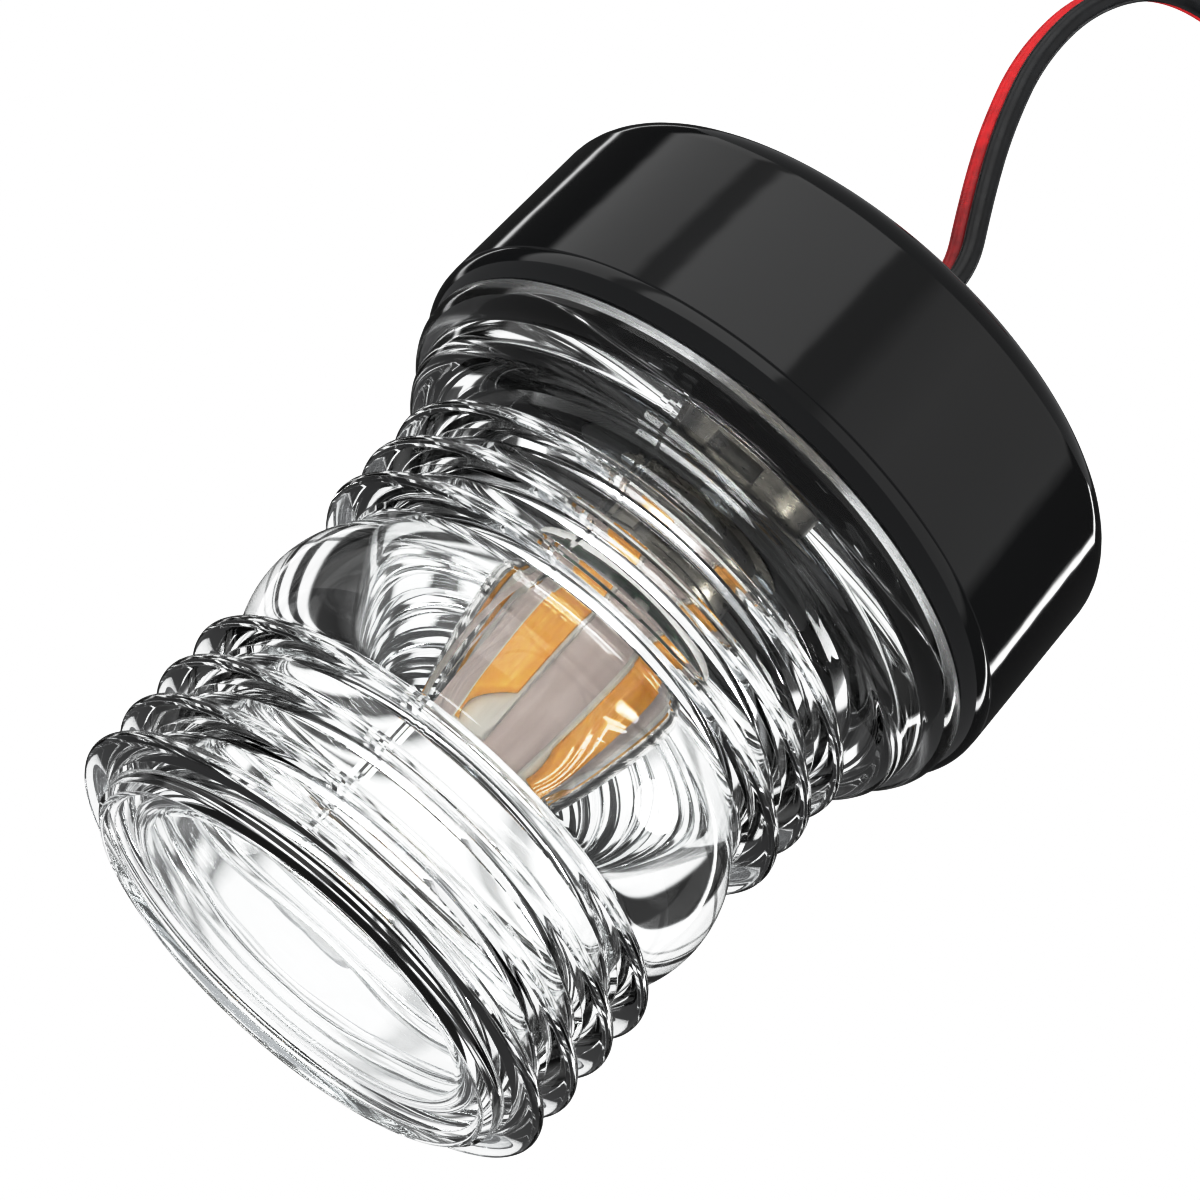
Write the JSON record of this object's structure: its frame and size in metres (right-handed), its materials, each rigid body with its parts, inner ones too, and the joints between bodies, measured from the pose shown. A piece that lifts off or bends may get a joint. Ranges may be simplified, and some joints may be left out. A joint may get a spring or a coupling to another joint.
{
  "type": "navigation light",
  "caption": "All-round boat navigation light: clear ribbed Fresnel lens screwed on a round black base, bayonet LED lamp inside, two-core lead from the underside.",
  "frame": {"origin": "centre of the mounting face under the base", "axes": "+Z along the lens axis from the base to the lens tip; -Y is the side looked at first; the lead leaves along -Z"},
  "size_m": [0.072, 0.072, 0.254],
  "materials": {
    "black_abs": "injection moulded, polished tool",
    "clear_lens": "clear polycarbonate, moulded",
    "clear_cover": "clear polycarbonate, moulded",
    "seal_rubber": "moulded nitrile rubber",
    "foam_rubber": "closed-cell foam rubber",
    "grommet_rubber": "moulded rubber",
    "holder_plastic": "moulded nylon",
    "nickel_plate": "nickel-plated brass, drawn",
    "zinc_steel": "zinc-plated steel",
    "spring_steel": "drawn spring wire",
    "brass": "stamped brass",
    "phenolic": "phenolic moulding",
    "lamp_white": "white polyamide",
    "board_green": "solder mask over glass epoxy",
    "chip_black": "moulded epoxy",
    "column_plastic": "pinkish grey moulding",
    "board_white": "white solder mask",
    "phosphor": "silicone with yellow phosphor",
    "disc_aluminium": "stamped",
    "pvc_black": "extruded PVC",
    "pvc_red": "extruded PVC",
    "tinned_copper": "tinned strands"
  },
  "bodies": {
    "base": {"base_cup": "black_abs", "collar": "black_abs", "mounting_pad": "foam_rubber", "cord_grommet": "grommet_rubber", "holder_plate": "holder_plastic", "plate_screws": "zinc_steel", "socket_shell": "nickel_plate", "socket_rivets": "brass", "contact_carrier": "phenolic", "contact_springs": "spring_steel", "terminal_tags": "brass", "lead_black": "pvc_black", "lead_red": "pvc_red", "cord_black": "pvc_black", "cord_red": "pvc_red", "tail_black": "pvc_black", "tail_red": "pvc_red", "strands_black": "tinned_copper", "strands_red": "tinned_copper"},
    "contacts": {"contact_plungers": "brass"},
    "lamp": {"lamp_cap": "nickel_plate", "lamp_pins": "brass", "lamp_insulator": "phenolic", "lamp_contacts": "tinned_copper", "lamp_collar": "lamp_white", "driver_board": "board_green", "driver_chips": "chip_black", "column_feet": "lamp_white", "led_column": "column_plastic", "led_boards": "board_white", "led_strips": "phosphor", "column_disc": "disc_aluminium", "lamp_cover": "clear_cover"},
    "seal": {"lens_seal": "seal_rubber"},
    "lens": {"lens": "clear_lens"}
  },
  "joints": [
    {"name": "lens_lift", "type": "slide", "parent": "base", "child": "seal", "axis": [0, 0, 1], "range_m": [0, 0.006]},
    {"name": "lens_turn", "type": "hinge", "parent": "seal", "child": "lens", "pos_m": [0, 0, 0.0256], "axis": [0, 0, 1], "range_deg": [0, 120.5]},
    {"name": "contact_push", "type": "slide", "parent": "base", "child": "contacts", "axis": [0, 0, 1], "range_m": [-0.002, 0], "stiffness_N_per_m": 2000, "springref_m": 0.003, "deforming": ["contact_springs"]},
    {"name": "lamp_turn", "type": "hinge", "parent": "contacts", "child": "lamp", "pos_m": [0, 0, 0.029], "axis": [0, 0, 1], "range_deg": [0, 25]}
  ],
  "couplings": [
    {"joint": "lens_turn", "follows": "lens_lift", "rad_per_m": 349.07}
  ]
}
